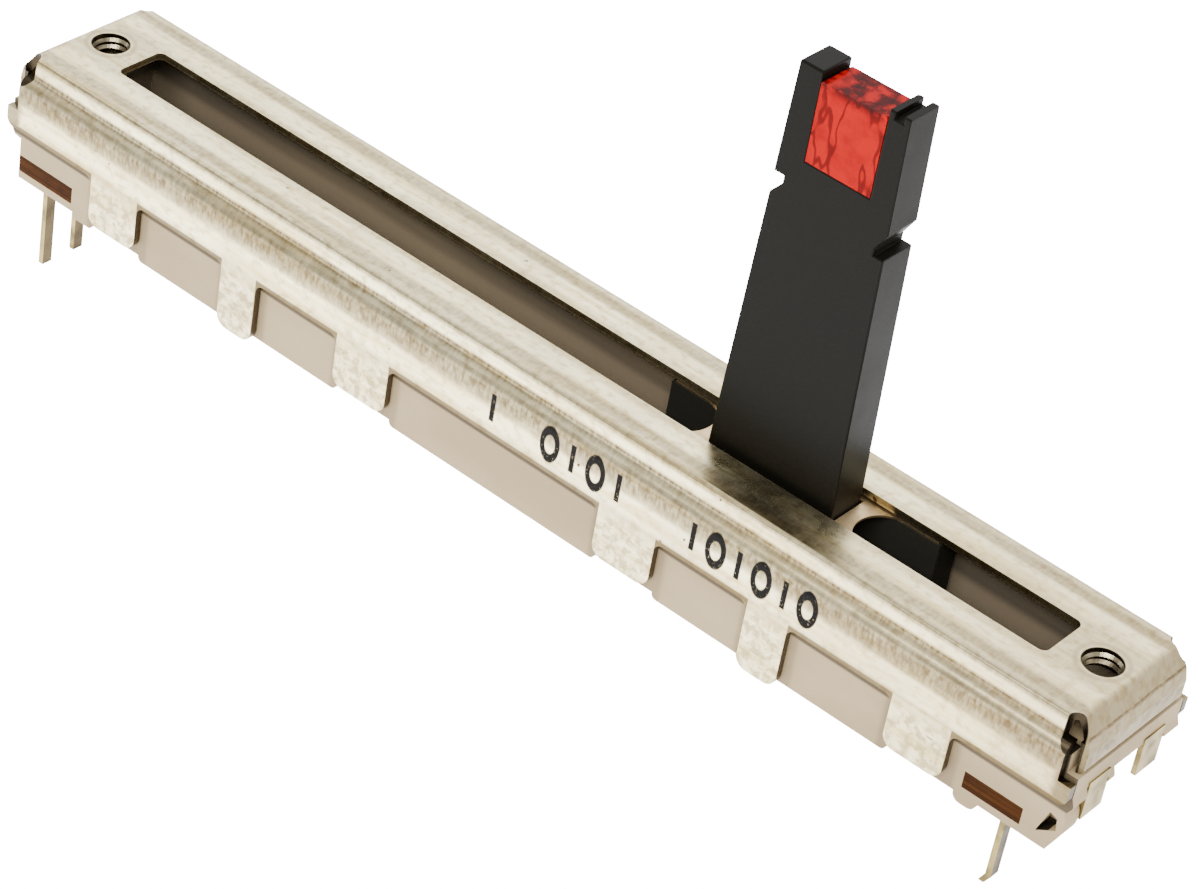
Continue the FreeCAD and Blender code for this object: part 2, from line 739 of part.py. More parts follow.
def make_lever():
    body = new_slider_body("lever")
    foot = draw(body, "foot_plan", "XY", [lever_plan("-channel_depth")], "-channel_depth")
    head = draw(body, "head_plan", "XY", [lever_plan("lever_height")], "lever_height")
    blade = body.newObject("PartDesign::AdditiveLoft", "blade")
    blade.Profile = foot
    blade.Sections = [head]
    doc.recompute()
    tenon = centred("tenon_length", "-tenon_width / 2", "tenon_width / 2")
    upright(body, "tenon", [tenon], "-carrier_foot", "-channel_depth")
    fork = box("-fork_left", "fork_right", "fork_floor", "lever_height + 1")
    groove_foot = "lever_height - prong_groove_depth"
    groove = box("0.364 * lever_top_width", "0.442 * lever_top_width", groove_foot, "lever_height + 1")
    sideways(body, "fork", [fork, groove], "lever_thickness + 2", cut=True)
    sideways(body, "side_notches", [left_notch(), right_notch()], "lever_thickness + 2", cut=True)
    near = "lead_pitch / 2 - lead_width / 2"
    far = "lead_pitch / 2 + lead_width / 2"
    lead_ways = both(box(near, far, "-carrier_foot - 1", "fork_floor + 1"))
    sideways(body, "lead_ways", lead_ways, "lead_width", cut=True)


def lead_outline(sign):
    """A lamp lead in side view, with its broad head inside the lamp."""
    near = "%slead_pitch / 2 - lead_width / 2" % sign
    far = "%slead_pitch / 2 + lead_width / 2" % sign
    head_near = "lead_width / 2" if sign == "" else "-3.5 * lead_width"
    head_far = "3.5 * lead_width" if sign == "" else "-lead_width / 2"
    return [
        (near, "-lead_end"),
        (far, "-lead_end"),
        (far, "fork_floor + 0.27 * lamp_height"),
        (head_far, "fork_floor + 0.36 * lamp_height"),
        (head_far, "fork_floor + 0.65 * lamp_height"),
        (head_near, "fork_floor + 0.65 * lamp_height"),
        (head_near, "fork_floor + 0.36 * lamp_height"),
        (near, "fork_floor + 0.27 * lamp_height"),
    ]


def make_lamp():
    body = new_slider_body("led_lamp")
    front = box("-fork_left + lamp_gap", "fork_right - lamp_gap", "fork_floor", "lamp_top")
    sideways(body, "lamp_block", [front], "lever_top_thickness + lamp_gap")
    edges = [("-fork_left + lamp_gap", "lamp_top"), ("fork_right - lamp_gap", "lamp_top")]
    soften(body, "lamp_top_edges", 1, edges, "5 * lamp_gap")
    sideways(body, "lead_pockets", [lead_outline("-"), lead_outline("")], "lead_width", cut=True)


def make_lead(label, sign):
    body = new_slider_body(label)
    sideways(body, "lead", [lead_outline(sign)], "lead_width")


def make_friction_spring():
    """A bronze plate on the carrier, forked round the screw collars at both ends."""
    body = new_slider_body("friction_spring")
    half_width = "spring_width / 2"
    face = "-carrier_top + spring_sheet"
    plate = centred("spring_length", minus(half_width), half_width)
    upright(body, "plate", [plate], "-carrier_top", face)
    arc_centre = "spring_bridge / 2 + spring_arc"
    arcs = both(("circle", arc_centre, "0", "spring_arc"))
    upright(body, "arcs", arcs, "-carrier_top - 1", "1", cut=True)
    mouths = both(box(arc_centre, "spring_length", "-spring_arc", "spring_arc"))
    upright(body, "mouths", mouths, "-carrier_top - 1", "1", cut=True)
    half_x = "lever_width / 2 + lever_clearance"
    half_y = "lever_thickness / 2 + lever_clearance"
    lever_hole = box(minus(half_x), half_x, minus(half_y), half_y)
    upright(body, "lever_hole", [lever_hole], "-carrier_top - 1", "1", cut=True)
    pad_x = "spring_length / 2 - 1.4"
    pad_y = "(spring_arc + spring_width / 2) / 2"
    pads = both(around(pad_x, pad_y, "3 * spring_sheet"))
    pads += both(around(pad_x, minus(pad_y), "3 * spring_sheet"))
    upright(body, "rubbing_pads", pads, face, "-sheet - contact_gap")


def finger_path(start, end, reach, direction):
    """Side view of a spring strip: flat under the carrier, sloping to a track, tip turned up."""
    tip = minus(TRACK_FACE) + " + contact_gap"
    mount = "-carrier_foot"
    tip_x = "%s %s 6 * spring_sheet" % (reach, "-" if direction > 0 else "+")
    return [
        (start, mount),
        (start, mount + " - spring_sheet"),
        (end, mount + " - spring_sheet"),
        (tip_x, tip),
        (reach, tip + " + 2 * spring_sheet"),
        (reach, tip + " + 3 * spring_sheet"),
        (tip_x, tip + " + 1.2 * spring_sheet"),
        (end, mount),
    ]


def make_wiper(label, sign):
    """Two forked fingers, one on the resistive track and one on the collector track."""
    body = new_slider_body(label)
    outer = "resistive_inner + resistive_width - contact_gap"
    inner = "collector_inner + contact_gap"
    middle = "%s((%s) + (%s)) / 2" % (sign, outer, inner)
    path = finger_path("wiper_plate_start", "wiper_plate_end", "finger_end", 1)
    sideways(body, "strip", [path], "(%s) - (%s)" % (outer, inner), middle)
    low = "resistive_inner + contact_gap"
    high = "collector_inner + collector_width - contact_gap"
    beyond = "finger_end + 1"
    slits = [box("wiper_plate_end - 4 * spring_sheet", beyond, sign + "(%s)" % low, sign + "(%s)" % high)]
    for first, last in ((outer, low), (inner, high)):
        centre = "%s(%s + %s) / 2" % (sign, first, last)
        near, far = centre + " - 2 * contact_gap", centre + " + 2 * contact_gap"
        slits.append(box("wiper_plate_end + 3 * spring_sheet", beyond, near, far))
    upright(body, "finger_gaps", slits, "-board_top - 1", "-carrier_foot + 1", cut=True)


def make_lamp_brush(label, sign):
    """A brush that picks up one pole of the lamp from a rail."""
    body = new_slider_body(label)
    rail_far = "%s(rail_inner + rail_width)" % sign
    lead = "%slead_pitch / 2" % ("-" if sign == "-" else "")
    near, far = lead + " - 1.3 * lead_width", lead + " + 1.3 * lead_width"
    plate = box(near, far, rail_far, "%s(-lead_width)" % sign)
    upright(body, "plate", [plate], "-carrier_foot - spring_sheet", "-carrier_foot")
    path = finger_path(lead, near, lead + " - 8 * lead_width", -1)
    middle = "%s(rail_inner + rail_width / 2 + contact_gap)" % sign
    sideways(body, "finger", [path], "rail_width - 2 * contact_gap", middle)
    hole = box(lead + " - lead_width / 2", lead + " + lead_width / 2", "-lead_width / 2", "lead_width / 2")
    upright(body, "lead_hole", [hole], "-carrier_foot - 1", "-carrier_foot + 1", cut=True)


make_cover()
make_base()
make_board()
for side in ("front", "rear"):
    make_track("resistive_track_" + side, "resistive_inner", "resistive_width", "track_length")
    make_track("collector_track_" + side, "collector_inner", "collector_width", "track_length")
    make_track("led_rail_" + side, "rail_inner", "rail_width", "stop_length")
names = ["terminal_left_front", "terminal_left_rear", "terminal_left_mid_front", "terminal_left_mid_rear"]
names += ["terminal_right_front", "terminal_right_rear"]
for label, place in zip(names, terminal_places()):
    make_terminal(label, place)
make_rivets()
make_lamp_terminal("lamp_terminal_front", "-lamp_tab_side")
make_lamp_terminal("lamp_terminal_rear", "lamp_tab_side")
make_carrier()
make_lever()
make_lamp()
make_lead("led_lead_front", "-")
make_lead("led_lead_rear", "")
make_friction_spring()
make_wiper("wiper_front", "-")
make_wiper("wiper_rear", "")
make_lamp_brush("lamp_brush_front", "-")
make_lamp_brush("lamp_brush_rear", "")
doc.recompute()

os.makedirs("parts", exist_ok=True)
faults = []
for item in doc.Objects:
    if "Invalid" in item.State or "Error" in item.State:
        faults.append("%s: %s" % (item.Label, item.State))
nodes = [item for item in doc.Objects if item.TypeId in ("PartDesign::Body", "Part::Box")]
for node in nodes:
    if node.Shape.isNull() or not node.Shape.isValid():
        faults.append("%s: no valid shape" % node.Label)
if faults:
    raise SystemExit("\n".join(faults))
for node in nodes:
    node.Shape.exportStep("parts/%s.step" % node.Label)
    print("%-26s %9.3f mm3 %d solid" % (node.Label, node.Shape.Volume, len(node.Shape.Solids)))
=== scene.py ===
import json
import math
import bmesh
import bpy
from mathutils import Matrix, Vector


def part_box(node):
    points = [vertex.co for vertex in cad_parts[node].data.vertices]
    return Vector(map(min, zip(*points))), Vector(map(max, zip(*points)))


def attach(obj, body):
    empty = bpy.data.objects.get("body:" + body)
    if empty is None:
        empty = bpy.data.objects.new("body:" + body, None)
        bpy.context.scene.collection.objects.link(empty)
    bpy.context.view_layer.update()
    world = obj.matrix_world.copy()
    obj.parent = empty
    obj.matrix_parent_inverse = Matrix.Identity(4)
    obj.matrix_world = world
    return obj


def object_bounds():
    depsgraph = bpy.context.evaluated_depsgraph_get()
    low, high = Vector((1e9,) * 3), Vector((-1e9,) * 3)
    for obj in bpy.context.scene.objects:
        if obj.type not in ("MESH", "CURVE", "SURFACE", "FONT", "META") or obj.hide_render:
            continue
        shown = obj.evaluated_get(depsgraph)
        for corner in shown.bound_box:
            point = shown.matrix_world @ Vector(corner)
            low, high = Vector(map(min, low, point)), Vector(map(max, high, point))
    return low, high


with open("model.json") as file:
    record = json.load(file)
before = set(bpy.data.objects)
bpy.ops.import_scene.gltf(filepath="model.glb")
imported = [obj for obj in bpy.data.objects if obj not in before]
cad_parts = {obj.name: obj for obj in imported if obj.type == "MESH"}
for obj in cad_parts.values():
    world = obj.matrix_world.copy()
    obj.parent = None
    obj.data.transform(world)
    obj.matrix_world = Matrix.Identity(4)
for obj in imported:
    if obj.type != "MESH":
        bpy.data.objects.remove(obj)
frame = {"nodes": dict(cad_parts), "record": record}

# All lengths are in metres, unless a name ends in mm. MM turns millimetres into metres.
MM = 0.001


def note_size():
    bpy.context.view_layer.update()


note_size()


# Sizes and places that come from the frame

COVER_END, COVER_SIDE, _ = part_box("cover")[1]
BASE_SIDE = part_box("base")[1][1]
CARRIER_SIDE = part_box("carrier")[1][1]
BOARD_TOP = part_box("element_board")[1][2]
LAMP_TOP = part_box("led_lamp")[1][2]
PIN_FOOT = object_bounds()[0][2]
MOUNTS = {mount["name"]: mount for mount in frame["record"]["mounts"]}
HOLE_X = MOUNTS["screw_thread_right"]["pos_m"][0]
HOLE_RADIUS_MM = MOUNTS["screw_thread_right"]["dims"]["r_mm"]


# Sizes and places of the looks

# The middles of the round reliefs at the cover's corners
RELIEF_X = COVER_END - 1.0 * MM
RELIEF_Y = COVER_SIDE - 0.75 * MM

# The cover's sheet, and how far a mask reaches past a face to take it in
SHEET = 0.5 * MM
HAIR = 0.05 * MM

# Middle and half width of each tab, on either side of the cover's middle
TABS_MM = ((10.8, 2.2), (21.6, 1.5), (32.9, 2.1))

# Painted shade of the rolled sheet, as darker reflection bands that also roughen it: on top by the distance
# from the middle line, on the sides by depth
TOP_FOLD_SHADE_MM = (
    (2.2, 0.35), (2.75, 0.0), (3.6, 0.0), (3.95, 0.55), (4.45, 0.6),
    (4.8, 0.38), (5.15, 0.55), (5.4, 0.95), (5.75, 0.2), (6.0, 0.1),
)
SIDE_FOLD_SHADE_MM = (
    (0.0, 0.55), (0.3, 0.65), (0.5, 0.15), (0.9, 0.0), (1.15, 0.9), (1.6, 0.6), (1.95, 0.65),
    (2.2, 0.84), (2.9, 0.76), (3.25, 0.6), (3.6, 0.0), (4.7, 0.05), (5.1, 0.35), (6.0, 0.15),
)

# Rows of marks on the front skirt: the digits, the place of the first one and their spacing
MARK_ROWS_MM = (("1", -0.3, 0.0), ("0101", 4.3, 1.8), ("101010", 15.5, 1.72))
MARK_HEIGHT_MM = -3.35
MARK_HALF_WIDTH_MM = 0.58
MARK_HALF_HEIGHT_MM = 1.0
MARK_STROKE_MM = 0.19
INK_EDGE = 0.04 * MM


# Shader building blocks

def feed(tree, sockets, sources):
    """Links each source to its socket, or sets the socket where the source is a plain value."""
    for socket, source in zip(sockets, sources):
        if isinstance(source, bpy.types.NodeSocket):
            tree.links.new(source, socket)
        else:
            socket.default_value = source


def mix_colour(tree, factor, first, second):
    """Mixes two colours; each of factor, first and second is a socket or a plain value."""
    node = tree.nodes.new("ShaderNodeMix")
    node.data_type = "RGBA"
    feed(tree, [node.inputs[number] for number in (0, 6, 7)], (factor, first, second))
    return node.outputs[2]


def painted(tree, base, *layers):
    """Lays the (mask, colour) layers over the base in turn."""
    for mask, tone in layers:
        base = mix_colour(tree, mask, base, tone)
    return base


def ramp(tree, source, low, high, start=0.0, end=1.0):
    """A smooth step of a value between two places."""
    node = tree.nodes.new("ShaderNodeMapRange")
    node.interpolation_type = "SMOOTHSTEP"
    node.inputs["From Min"].default_value = low
    node.inputs["From Max"].default_value = high
    node.inputs["To Min"].default_value = start
    node.inputs["To Max"].default_value = end
    tree.links.new(source, node.inputs["Value"])
    return node.outputs["Result"]


def calculate(tree, operation, first, second=0.0, third=0.0):
    """One sum; each of first, second and third is a socket or a plain number."""
    node = tree.nodes.new("ShaderNodeMath")
    node.operation = operation
    feed(tree, node.inputs, (first, second, third))
    return node.outputs[0]


def size_of(tree, source):
    return calculate(tree, "ABSOLUTE", source)


def square(tree, source):
    return calculate(tree, "MULTIPLY", source, source)


def above(tree, source, limit):
    return calculate(tree, "GREATER_THAN", source, limit)


def below(tree, source, limit):
    return calculate(tree, "LESS_THAN", source, limit)


def all_of(tree, *masks):
    """The product of several masks."""
    total = masks[0]
    for mask in masks[1:]:
        total = calculate(tree, "MULTIPLY", total, mask)
    return total


def most_of(tree, first, second):
    """The larger of two masks."""
    return calculate(tree, "MAXIMUM", first, second)


def between(tree, source, low, high):
    return all_of(tree, above(tree, source, low), below(tree, source, high))


def position(tree):
    """A place on the piece, in the frame that the CAD uses."""
    return tree.nodes.new("ShaderNodeTexCoord").outputs["Object"]


def noise(tree, where, scale, detail=4.0, roughness=0.5, stretch=(1.0, 1.0, 1.0)):
    """Noise over the piece's own coordinates, with a scale in turns per metre."""
    mapping = tree.nodes.new("ShaderNodeMapping")
    mapping.inputs["Scale"].default_value = stretch
    tree.links.new(where, mapping.inputs["Vector"])
    node = tree.nodes.new("ShaderNodeTexNoise")
    node.inputs["Scale"].default_value = scale
    node.inputs["Detail"].default_value = detail
    node.inputs["Roughness"].default_value = roughness
    tree.links.new(mapping.outputs["Vector"], node.inputs["Vector"])
    return node.outputs["Fac"]


def split(tree, where):
    """The X, Y and Z of a place or a direction."""
    node = tree.nodes.new("ShaderNodeSeparateXYZ")
    tree.links.new(where, node.inputs[0])
    return node.outputs


def facing(tree):
    """How far a face looks sideways along X and how far it looks up."""
    normal = split(tree, tree.nodes.new("ShaderNodeNewGeometry").outputs["True Normal"])
    return size_of(tree, normal["X"]), normal["Z"]


def bumped(tree, height, distance, strength):
    """The normal of a surface that a height roughens."""
    node = tree.nodes.new("ShaderNodeBump")
    node.inputs["Distance"].default_value = distance
    node.inputs["Strength"].default_value = strength
    tree.links.new(height, node.inputs["Height"])
    return node.outputs["Normal"]


def profile(tree, source, stops_mm):
    """A smooth curve of a length through the given (length in millimetres, value) stops."""
    first = stops_mm[0][0]
    reach = stops_mm[-1][0] - first
    curve = tree.nodes.new("ShaderNodeValToRGB")
    elements = curve.color_ramp.elements
    for length, _ in stops_mm[1:-1]:
        elements.new((length - first) / reach)
    for element, (_, value) in zip(elements, stops_mm):
        element.color = (value, value, value, 1)
    past = calculate(tree, "SUBTRACT", source, first * MM)
    tree.links.new(calculate(tree, "DIVIDE", past, reach * MM), curve.inputs["Fac"])
    return curve.outputs["Color"]


def distance_mm(tree, axes, x, y):
    """How far a place is, in millimetres, from the nearest of the four places (+-x, +-y)."""
    off_x = calculate(tree, "SUBTRACT", size_of(tree, axes["X"]), x)
    off_y = calculate(tree, "SUBTRACT", size_of(tree, axes["Y"]), y)
    squares = calculate(tree, "ADD", square(tree, off_x), square(tree, off_y))
    return calculate(tree, "DIVIDE", calculate(tree, "SQRT", squares), MM)


def new_material(name, **constants):
    """A material with one Principled shader; constants are set on its own sockets."""
    material = bpy.data.materials.new(name)
    material.use_nodes = True
    tree = material.node_tree
    shader = tree.nodes["Principled BSDF"]
    for socket, given in constants.items():
        shader.inputs[socket.replace("_", " ")].default_value = given
    return material, tree, shader


def connect(tree, shader, **sources):
    """Links each source to the shader's socket of that name."""
    for socket, source in sources.items():
        tree.links.new(source, shader.inputs[socket.replace("_", " ")])


def colour(red, green, blue):
    """A colour from screen values of 0 to 255."""
    def straight(level):
        level = level / 255
        return level / 12.92 if level <= 0.04045 else ((level + 0.055) / 1.055) ** 2.4
    return (straight(red), straight(green), straight(blue), 1.0)


# Ink on the front skirt

def inside(tree, off, limit):
    """One inside the limit and nought outside it, with a soft edge."""
    past = calculate(tree, "SUBTRACT", off, limit)
    return ramp(tree, past, -INK_EDGE, INK_EDGE, 1.0, 0.0)


def oval_mask(tree, across, up, given):
    """An upright oval ring."""
    across = calculate(tree, "DIVIDE", across, given["Half Width"])
    up = calculate(tree, "DIVIDE", up, given["Half Height"])
    squares = calculate(tree, "ADD", square(tree, across), square(tree, up))
    off = size_of(tree, calculate(tree, "SUBTRACT", calculate(tree, "SQRT", squares), 1.0))
    off = calculate(tree, "MULTIPLY", off, given["Half Width"])
    return inside(tree, off, given["Stroke"])


def bar_mask(tree, across, up, given):
    """An upright bar."""
    beside = inside(tree, size_of(tree, across), given["Stroke"])
    level = inside(tree, size_of(tree, up), given["Half Height"])
    return calculate(tree, "MULTIPLY", beside, level)


def digit_group(name, mask_of):
    """A node group that gives the mask of one digit, wherever it stands."""
    group = bpy.data.node_groups.new(name, "ShaderNodeTree")
    for socket in ("X", "Z", "Centre X", "Centre Z", "Half Width", "Half Height", "Stroke"):
        group.interface.new_socket(socket, in_out="INPUT", socket_type="NodeSocketFloat")
    group.interface.new_socket("Mask", in_out="OUTPUT", socket_type="NodeSocketFloat")
    given = group.nodes.new("NodeGroupInput").outputs
    across = calculate(group, "SUBTRACT", given["X"], given["Centre X"])
    up = calculate(group, "SUBTRACT", given["Z"], given["Centre Z"])
    result = group.nodes.new("NodeGroupOutput")
    group.links.new(mask_of(group, across, up, given), result.inputs["Mask"])
    return group


def printed_marks(tree, axes):
    """Generic ones and noughts on the front skirt, as one mask."""
    groups = {"0": digit_group("ink_oval", oval_mask), "1": digit_group("ink_bar", bar_mask)}
    total = None
    for digits, first, spacing in MARK_ROWS_MM:
        for number, digit in enumerate(digits):
            mark = tree.nodes.new("ShaderNodeGroup")
            mark.node_tree = groups[digit]
            tree.links.new(axes["X"], mark.inputs["X"])
            tree.links.new(axes["Z"], mark.inputs["Z"])
            mark.inputs["Centre X"].default_value = (first + spacing * number) * MM
            mark.inputs["Centre Z"].default_value = MARK_HEIGHT_MM * MM
            mark.inputs["Half Width"].default_value = MARK_HALF_WIDTH_MM * MM
            mark.inputs["Half Height"].default_value = MARK_HALF_HEIGHT_MM * MM
            mark.inputs["Stroke"].default_value = MARK_STROKE_MM * MM
            mask = mark.outputs["Mask"]
            total = mask if total is None else most_of(tree, total, mask)
    on_front = below(tree, axes["Y"], -COVER_SIDE + 0.1 * MM)
    return calculate(tree, "MULTIPLY", total, on_front)


# Tin plate of the cover

def cut_edges_and_shade(tree, axes):
    """A mask of the sheared edges of the skirts and tabs, which face along X or down: bare cut steel,
    darkened further by painted shade of the gaps beside the tabs.
    """
    along, up = facing(tree)
    down = calculate(tree, "MULTIPLY", up, -1.0)
    edge = ramp(tree, most_of(tree, along, down), 0.55, 0.8)
    in_skirt = above(tree, size_of(tree, axes["Y"]), COVER_SIDE - SHEET - HAIR)
    return calculate(tree, "MULTIPLY", edge, in_skirt)


def past_tabs(tree, along):
    """How far a place along the skirt lies beyond the nearest tab, in metres."""
    total = None
    for middle, half in TABS_MM:
        off = size_of(tree, calculate(tree, "SUBTRACT", along, middle * MM))
        beyond = calculate(tree, "SUBTRACT", off, half * MM)
        total = beyond if total is None else calculate(tree, "MINIMUM", total, beyond)
    return total


def painted_fold_shade(tree, axes):
    """Painted shade of the sheet: it is bright on the flats, with darker reflection bands in and beside the
    folds, darker at the end fold, and a shadow line along the windows' rims; scuffs vary it.
    """
    along = size_of(tree, axes["X"])
    across = size_of(tree, axes["Y"])
    depth = calculate(tree, "MULTIPLY", axes["Z"], -1.0)
    _, up = facing(tree)
    on_sides = profile(tree, depth, SIDE_FOLD_SHADE_MM)
    on_top = profile(tree, across, TOP_FOLD_SHADE_MM)
    total = mix_colour(tree, ramp(tree, up, 0.6, 0.85), on_sides, on_top)
    scuffs = noise(tree, position(tree), 4200, 3, 0.6, (1.0, 0.35, 0.35))
    total = calculate(tree, "MULTIPLY", total, ramp(tree, scuffs, 0.3, 0.7, 0.86, 1.12))
    # Painted shade on the end fold
    end_fold_shade = ramp(tree, along, COVER_END - 1.6 * MM, COVER_END - 0.8 * MM, 0.0, 0.75)
    # Painted shadow line along the skirt's edge above each window
    window_rim_shadow = all_of(
        tree,
        above(tree, across, COVER_SIDE - 0.3 * MM),
        ramp(tree, depth, 4.95 * MM, 5.2 * MM, 0.0, 0.9),
        above(tree, past_tabs(tree, along), 0.0),
    )
    return most_of(tree, most_of(tree, total, end_fold_shade), window_rim_shadow)


def plate_tones(tree, where, axes):
    """The plate's own colours: warm streaks and patches, yellower toward the right end."""
    streaks = noise(tree, where, 1300, 5, 0.6, (0.06, 1.0, 1.0))
    tints = noise(tree, where, 160, 4)
    mottle = noise(tree, where, 2100, 2, 0.5, (0.7, 1.0, 1.0))
    base = mix_colour(tree, ramp(tree, streaks, 0.32, 0.6), colour(222, 202, 148), colour(255, 243, 198))
    return painted(
        tree, base,
        (ramp(tree, tints, 0.45, 0.7, 0.0, 0.4), colour(216, 202, 168)),
        (ramp(tree, mottle, 0.45, 0.75, 0.0, 0.6), colour(176, 156, 108)),
        (ramp(tree, axes["X"], 10 * MM, 45 * MM, 0.0, 0.3), colour(168, 146, 104)),
    )


def tab_blotches(tree, where, axes):
    """Grey blotches on the tabs."""
    blotches = ramp(tree, noise(tree, where, 1500, 3, 0.6), 0.44, 0.6, 0.0, 0.75)
    on_tabs = ramp(tree, axes["Z"], -6.2 * MM, -5.2 * MM, 1.0, 0.0)
    return calculate(tree, "MULTIPLY", blotches, on_tabs)


def hole_ring(tree, off_mm):
    """The pressed ring round each tapped hole, by the distance from the hole's middle."""
    return all_of(tree, ramp(tree, off_mm, 1.35, 1.55), ramp(tree, off_mm, 1.65, 1.85, 1.0, 0.0))


def tinned_steel():
    """Satin tin plate: warm and streaky, with painted shade in the folds, the tapped holes and the corner
    reliefs, dark cut edges that are partly painted shade, and ink.
    """
    material, tree, shader = new_material("tinned_steel", Specular_IOR_Level=0.05)
    where = position(tree)
    axes = split(tree, where)
    clouds = noise(tree, where, 420, 6, 0.6)
    grain = noise(tree, where, 5200, 3, 0.7)
    specks = ramp(tree, noise(tree, where, 1300, 1, 0.3), 0.8, 0.82)
    # Painted shade of the folds, which also makes them rougher
    dull_and_dark = painted_fold_shade(tree, axes)
    off_hole_mm = distance_mm(tree, axes, HOLE_X, 0.0)
    ring = hole_ring(tree, off_hole_mm)
    bore_shade = below(tree, off_hole_mm, HOLE_RADIUS_MM + HAIR / MM)
    relief_shade = below(tree, distance_mm(tree, axes, RELIEF_X, RELIEF_Y), 0.7)
    ink = calculate(tree, "MULTIPLY", printed_marks(tree, axes), ramp(tree, grain, 0.3, 0.42, 0.75, 1.0))
    base = painted(
        tree, plate_tones(tree, where, axes),
        # Painted shade of the folds, the end fold and the windows' rims
        (dull_and_dark, colour(74, 56, 28)),
        (specks, colour(90, 74, 54)),
        (tab_blotches(tree, where, axes), colour(150, 136, 100)),
        (calculate(tree, "MULTIPLY", ring, 0.6), colour(150, 136, 106)),
        # Sheared edges: bare steel, with painted shade of the gaps beside the tabs
        (cut_edges_and_shade(tree, axes), colour(84, 76, 64)),
        # Painted shade inside the tapped holes and the corner reliefs
        (most_of(tree, bore_shade, relief_shade), colour(58, 50, 38)),
        (ink, colour(8, 6, 5)),
    )
    cloudy = ramp(tree, clouds, 0.3, 0.7, 0.24, 0.34)
    height = calculate(tree, "MULTIPLY_ADD", grain, 0.12, clouds)
    height = calculate(tree, "MULTIPLY_ADD", ring, -0.6, height)
    connect(
        tree, shader,
        Base_Color=base,
        Metallic=calculate(tree, "SUBTRACT", 1.0, ink),
        Roughness=calculate(tree, "ADD", cloudy, ramp(tree, dull_and_dark, 0.0, 1.0, 0.0, 0.08)),
        Normal=bumped(tree, height, 0.02 * MM, 0.35),
    )
    return material


# Plastics

def moulded(name, light, dark, roughness, grain_depth, specular):
    """Moulded plastic: two close tones, a fine grain and faint flow marks."""
    material, tree, shader = new_material(name, Specular_IOR_Level=specular)
    where = position(tree)
    flow = noise(tree, where, 140, 4, 0.55, (0.4, 1.0, 1.0))
    grain = noise(tree, where, 6500, 3)
    base = mix_colour(tree, ramp(tree, flow, 0.3, 0.7), dark, light)
    connect(
        tree, shader,
        Base_Color=mix_colour(tree, ramp(tree, grain, 0.5, 0.8, 0.0, 0.5), base, dark),
        Roughness=ramp(tree, flow, 0.3, 0.7, roughness - 0.05, roughness + 0.05),
        Normal=bumped(tree, grain, grain_depth, 0.5),
    )
    return material


def room_shade_mask(tree, where, along, across, height):
    """Painted shade in the room that the slider runs in, laid in long smears."""
    smears = noise(tree, where, 260, 4, 0.6, (0.08, 1.0, 1.0))
    return all_of(
        tree,
        below(tree, across, CARRIER_SIDE + 0.12 * MM),
        below(tree, along, COVER_END - 2.6 * MM),
        above(tree, height, BOARD_TOP - 0.02 * MM),
        ramp(tree, smears, 0.25, 0.6, 0.75, 1.0),
    )


def skirt_shadow_mask(tree, along, across, height):
    """Painted shadow under the skirts' edges and beside the tabs."""
    under_skirt_shadow = ramp(tree, height, -6.32 * MM, -6.1 * MM, 0.0, 0.85)
    beside_tab_shadow = ramp(tree, past_tabs(tree, along), 0.4 * MM, 0.85 * MM, 0.3, 0.0)
    outside = above(tree, across, BASE_SIDE - 0.07 * MM)
    return calculate(tree, "MULTIPLY", most_of(tree, under_skirt_shadow, beside_tab_shadow), outside)


def shade_mask(tree, axes, along, across):
    """The dark places behind the corner reliefs and in the hollow of the front right corner."""
    in_corner = all_of(
        tree,
        between(tree, along, COVER_END - 2.4 * MM, COVER_END - 0.85 * MM),
        above(tree, across, 4.3 * MM),
        above(tree, axes["Z"], -4.6 * MM),
    )
    in_hollow = all_of(
        tree,
        between(tree, axes["X"], COVER_END - 3.7 * MM, COVER_END - 0.9 * MM),
        between(tree, axes["Y"], -5.36 * MM, -3.5 * MM),
        between(tree, axes["Z"], -9.5 * MM, -8.0 * MM),
    )
    return most_of(tree, in_corner, in_hollow)


def base_moulding():
    """Grey-beige moulding, with painted shade in the slider's room and in the corners, and a painted shadow
    under the cover's edges and beside the tabs.
    """
    material, tree, shader = new_material("base_plastic", Specular_IOR_Level=0.12)
    where = position(tree)
    axes = split(tree, where)
    along = size_of(tree, axes["X"])
    across = size_of(tree, axes["Y"])
    flow = noise(tree, where, 140, 4, 0.55, (0.4, 1.0, 1.0))
    grain = noise(tree, where, 6500, 3)
    room_shade = room_shade_mask(tree, where, along, across, axes["Z"])
    # The painted shade is darker up high, under the cover, and lighter low down
    low_down = ramp(tree, axes["Z"], -4.3 * MM, -3.5 * MM, 1.0, 0.0)
    room_shade_colour = mix_colour(tree, low_down, colour(76, 69, 58), colour(112, 100, 82))
    base = mix_colour(tree, ramp(tree, flow, 0.3, 0.7), colour(146, 128, 98), colour(162, 144, 112))
    base = painted(
        tree, base,
        (ramp(tree, grain, 0.6, 0.75, 0.0, 0.3), colour(126, 108, 80)),
        # Painted shade in the slider's room
        (room_shade, room_shade_colour),
        # Painted shadow under the skirts' edges and beside the tabs
        (skirt_shadow_mask(tree, along, across, axes["Z"]), colour(48, 38, 26)),
        (shade_mask(tree, axes, along, across), colour(34, 28, 20)),
    )
    connect(
        tree, shader,
        Base_Color=base,
        Roughness=ramp(tree, room_shade, 0.0, 1.0, 0.55, 0.3),
        Normal=bumped(tree, grain, 0.006 * MM, 0.5),
    )
    return material


